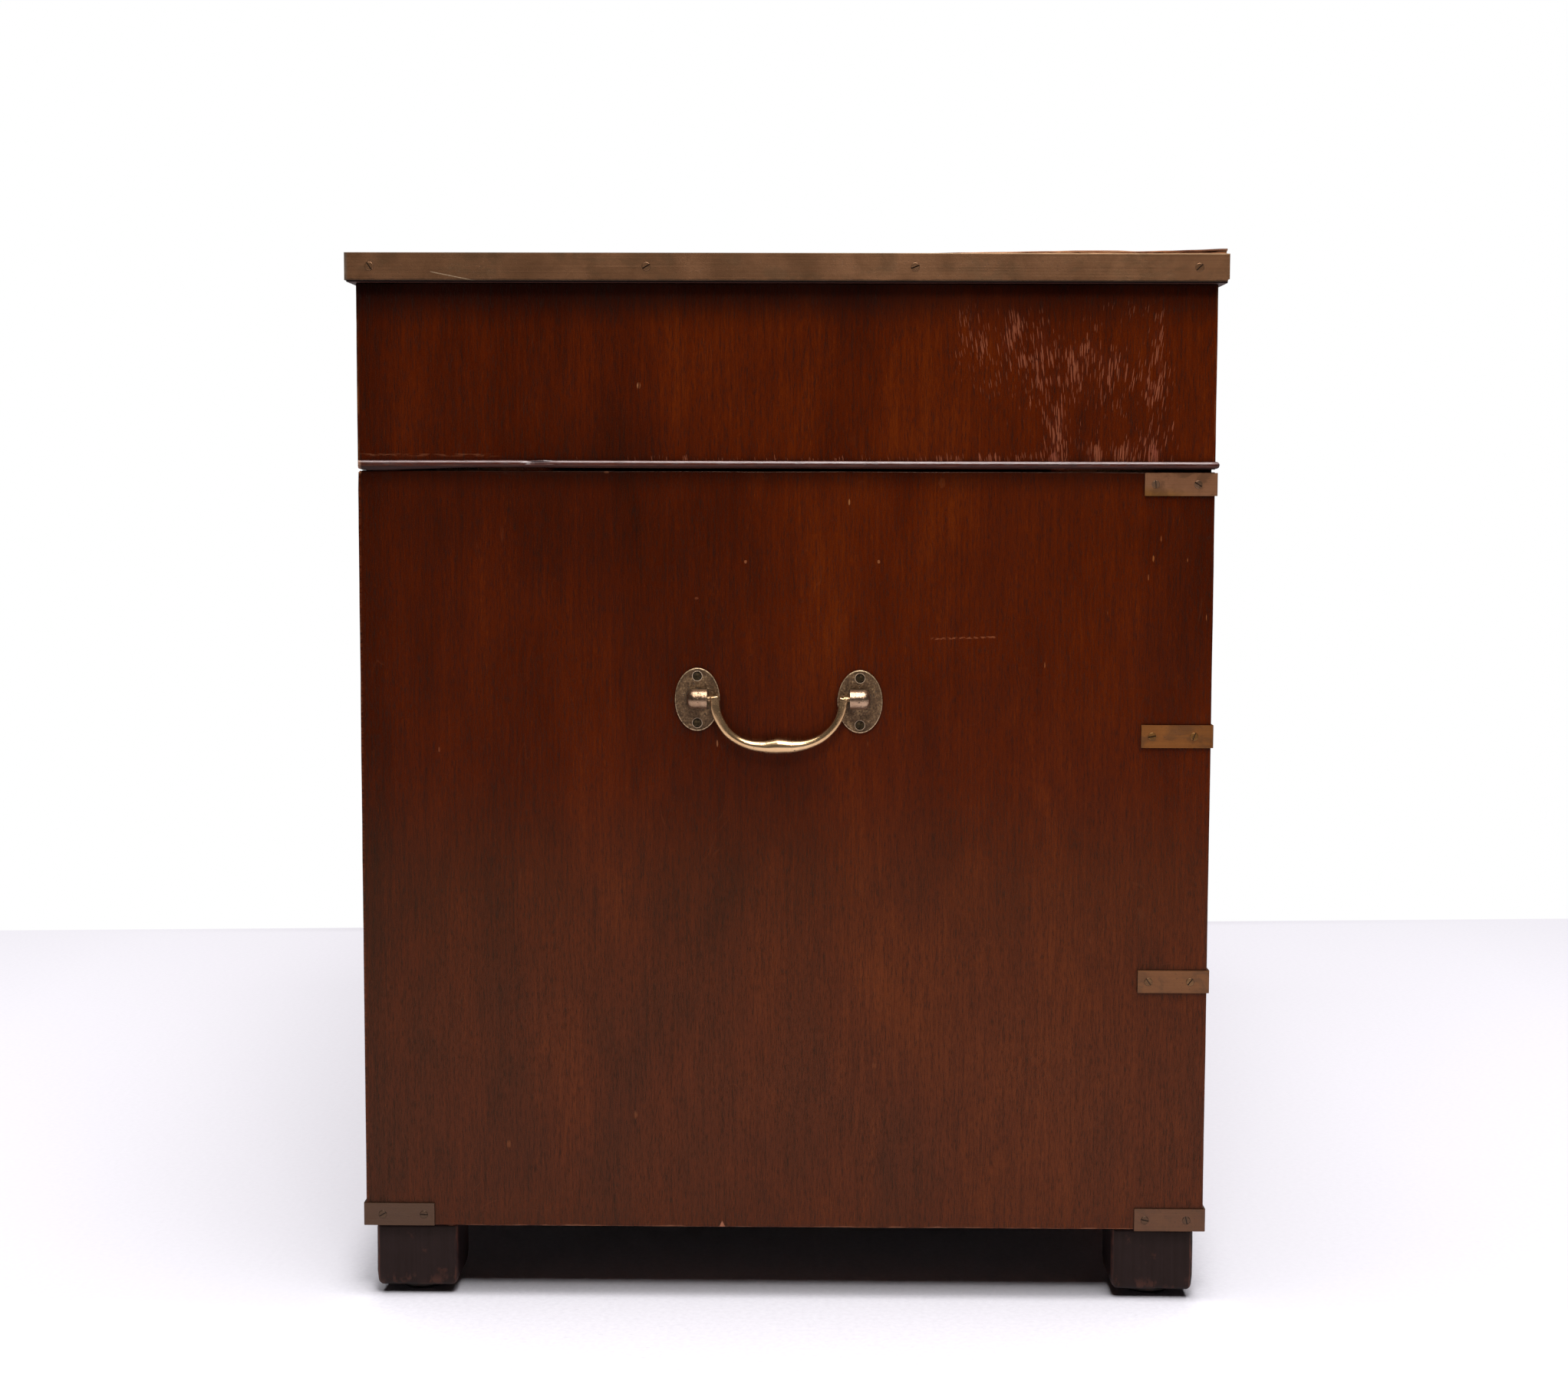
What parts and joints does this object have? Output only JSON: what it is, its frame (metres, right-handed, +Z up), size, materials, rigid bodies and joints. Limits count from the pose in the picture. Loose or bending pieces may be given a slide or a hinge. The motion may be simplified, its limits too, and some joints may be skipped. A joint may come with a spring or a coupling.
{
  "type": "campaign desk",
  "caption": "Three-section mahogany campaign desk: brass-bound lift-off top with frieze drawers over drawer pedestals with carry handles and flush pulls.",
  "frame": {"origin": "on the floor under the middle of the desk", "axes": "+X along the desk's length, front and drawers face -Y, +Z up"},
  "size_m": [1.2276, 0.6108, 0.741],
  "materials": {
    "mahogany_case": "polished",
    "mahogany_back": "satin",
    "mahogany_rail": "polished",
    "carcase_wood": "matte",
    "foot_wood": "worn satin",
    "glide_iron": "dull",
    "brass_strap": "brushed, tarnished",
    "brass_strap_screw": "tarnished",
    "brass_handle": "worn",
    "mahogany_frieze": "polished",
    "mahogany_bead": "polished",
    "mahogany_top": "polished",
    "leather_top": "waxed, gilt tooled border",
    "brass_band": "brushed, tarnished",
    "brass_band_screw": "tarnished",
    "mahogany_drawer": "polished",
    "drawer_lining": "matte",
    "brass_pull": "brushed, tarnished"
  },
  "bodies": {
    "pedestals": {"pedestal_sides": "mahogany_case", "pedestal_backs": "mahogany_back", "pedestal_tops_and_bottoms": "carcase_wood", "pedestal_rails": "mahogany_rail", "pedestal_drawer_runners": "carcase_wood", "block_feet": "foot_wood", "foot_glides": "glide_iron", "corner_straps": "brass_strap", "strap_screws": "brass_strap_screw", "locating_dowels": "carcase_wood", "carry_handle_plates": "brass_handle", "carry_handle_screws": "brass_handle"},
    "carry_handle_left": {"carry_handle_bail_left": "brass_handle"},
    "carry_handle_right": {"carry_handle_bail_right": "brass_handle"},
    "top_section": {"frieze_ends": "mahogany_frieze", "frieze_back": "mahogany_back", "frieze_rails": "mahogany_rail", "frieze_dividers_and_runners": "carcase_wood", "bead_moulding": "mahogany_bead", "top_board": "mahogany_top", "leather_inset": "leather_top", "edge_band": "brass_band", "edge_band_screws": "brass_band_screw"},
    "drawer_frieze_left": {"drawer_frieze_left_front": "mahogany_drawer", "drawer_frieze_left_box": "drawer_lining", "drawer_frieze_left_pull_plate": "brass_pull"},
    "pull_frieze_left": {"drawer_frieze_left_pull_bail": "brass_pull"},
    "drawer_frieze_middle": {"drawer_frieze_middle_front": "mahogany_drawer", "drawer_frieze_middle_box": "drawer_lining", "drawer_frieze_middle_pull_plate": "brass_pull"},
    "pull_frieze_middle": {"drawer_frieze_middle_pull_bail": "brass_pull"},
    "drawer_frieze_right": {"drawer_frieze_right_front": "mahogany_drawer", "drawer_frieze_right_box": "drawer_lining", "drawer_frieze_right_pull_plate": "brass_pull"},
    "pull_frieze_right": {"drawer_frieze_right_pull_bail": "brass_pull"},
    "drawer_left_top": {"drawer_left_top_front": "mahogany_drawer", "drawer_left_top_box": "drawer_lining", "drawer_left_top_pull_plate": "brass_pull"},
    "pull_left_top": {"drawer_left_top_pull_bail": "brass_pull"},
    "drawer_left_middle": {"drawer_left_middle_front": "mahogany_drawer", "drawer_left_middle_box": "drawer_lining", "drawer_left_middle_pull_plate": "brass_pull"},
    "pull_left_middle": {"drawer_left_middle_pull_bail": "brass_pull"},
    "drawer_left_bottom": {"drawer_left_bottom_front": "mahogany_drawer", "drawer_left_bottom_box": "drawer_lining", "drawer_left_bottom_pull_plate": "brass_pull"},
    "pull_left_bottom": {"drawer_left_bottom_pull_bail": "brass_pull"},
    "drawer_right_top": {"drawer_right_top_front": "mahogany_drawer", "drawer_right_top_box": "drawer_lining", "drawer_right_top_pull_plate": "brass_pull"},
    "pull_right_top": {"drawer_right_top_pull_bail": "brass_pull"},
    "drawer_right_middle": {"drawer_right_middle_front": "mahogany_drawer", "drawer_right_middle_box": "drawer_lining", "drawer_right_middle_pull_plate": "brass_pull"},
    "pull_right_middle": {"drawer_right_middle_pull_bail": "brass_pull"},
    "drawer_right_bottom": {"drawer_right_bottom_front": "mahogany_drawer", "drawer_right_bottom_box": "drawer_lining", "drawer_right_bottom_pull_plate": "brass_pull"},
    "pull_right_bottom": {"drawer_right_bottom_pull_bail": "brass_pull"}
  },
  "joints": [
    {"name": "top_section_lift", "type": "slide", "parent": "pedestals", "child": "top_section", "axis": [0, 0, 1], "range_m": [0, 0.05]},
    {"name": "carry_handle_left_swing", "type": "hinge", "parent": "pedestals", "child": "carry_handle_left", "pos_m": [-0.607, 0.0045, 0.4322], "axis": [0, 1, 0], "range_deg": [0, 90]},
    {"name": "carry_handle_right_swing", "type": "hinge", "parent": "pedestals", "child": "carry_handle_right", "pos_m": [0.607, 0.0045, 0.4322], "axis": [0, -1, 0], "range_deg": [0, 90]},
    {"name": "drawer_frieze_left_slide", "type": "slide", "parent": "top_section", "child": "drawer_frieze_left", "axis": [0, -1, 0], "range_m": [0, 0.4]},
    {"name": "pull_frieze_left_swing", "type": "hinge", "parent": "drawer_frieze_left", "child": "pull_frieze_left", "pos_m": [-0.405, -0.2963, 0.66455], "axis": [-1, 0, 0], "range_deg": [0, 90]},
    {"name": "drawer_frieze_middle_slide", "type": "slide", "parent": "top_section", "child": "drawer_frieze_middle", "axis": [0, -1, 0], "range_m": [0, 0.4]},
    {"name": "pull_frieze_middle_swing", "type": "hinge", "parent": "drawer_frieze_middle", "child": "pull_frieze_middle", "pos_m": [0, -0.2963, 0.66455], "axis": [-1, 0, 0], "range_deg": [0, 90]},
    {"name": "drawer_frieze_right_slide", "type": "slide", "parent": "top_section", "child": "drawer_frieze_right", "axis": [0, -1, 0], "range_m": [0, 0.4]},
    {"name": "pull_frieze_right_swing", "type": "hinge", "parent": "drawer_frieze_right", "child": "pull_frieze_right", "pos_m": [0.405, -0.2963, 0.66455], "axis": [-1, 0, 0], "range_deg": [0, 90]},
    {"name": "drawer_left_top_slide", "type": "slide", "parent": "pedestals", "child": "drawer_left_top", "axis": [0, -1, 0], "range_m": [0, 0.42]},
    {"name": "pull_left_top_swing", "type": "hinge", "parent": "drawer_left_top", "child": "pull_left_top", "pos_m": [-0.405, -0.2963, 0.5037], "axis": [-1, 0, 0], "range_deg": [0, 90]},
    {"name": "drawer_left_middle_slide", "type": "slide", "parent": "pedestals", "child": "drawer_left_middle", "axis": [0, -1, 0], "range_m": [0, 0.42]},
    {"name": "pull_left_middle_swing", "type": "hinge", "parent": "drawer_left_middle", "child": "pull_left_middle", "pos_m": [-0.405, -0.2963, 0.33045], "axis": [-1, 0, 0], "range_deg": [0, 90]},
    {"name": "drawer_left_bottom_slide", "type": "slide", "parent": "pedestals", "child": "drawer_left_bottom", "axis": [0, -1, 0], "range_m": [0, 0.42]},
    {"name": "pull_left_bottom_swing", "type": "hinge", "parent": "drawer_left_bottom", "child": "pull_left_bottom", "pos_m": [-0.405, -0.2957, 0.158], "axis": [-1, 0, 0], "range_deg": [0, 90]},
    {"name": "drawer_right_top_slide", "type": "slide", "parent": "pedestals", "child": "drawer_right_top", "axis": [0, -1, 0], "range_m": [0, 0.42]},
    {"name": "pull_right_top_swing", "type": "hinge", "parent": "drawer_right_top", "child": "pull_right_top", "pos_m": [0.405, -0.2963, 0.5037], "axis": [-1, 0, 0], "range_deg": [0, 90]},
    {"name": "drawer_right_middle_slide", "type": "slide", "parent": "pedestals", "child": "drawer_right_middle", "axis": [0, -1, 0], "range_m": [0, 0.42]},
    {"name": "pull_right_middle_swing", "type": "hinge", "parent": "drawer_right_middle", "child": "pull_right_middle", "pos_m": [0.405, -0.2963, 0.33045], "axis": [-1, 0, 0], "range_deg": [0, 90]},
    {"name": "drawer_right_bottom_slide", "type": "slide", "parent": "pedestals", "child": "drawer_right_bottom", "axis": [0, -1, 0], "range_m": [0, 0.42]},
    {"name": "pull_right_bottom_swing", "type": "hinge", "parent": "drawer_right_bottom", "child": "pull_right_bottom", "pos_m": [0.405, -0.2957, 0.158], "axis": [-1, 0, 0], "range_deg": [0, 90]}
  ]
}
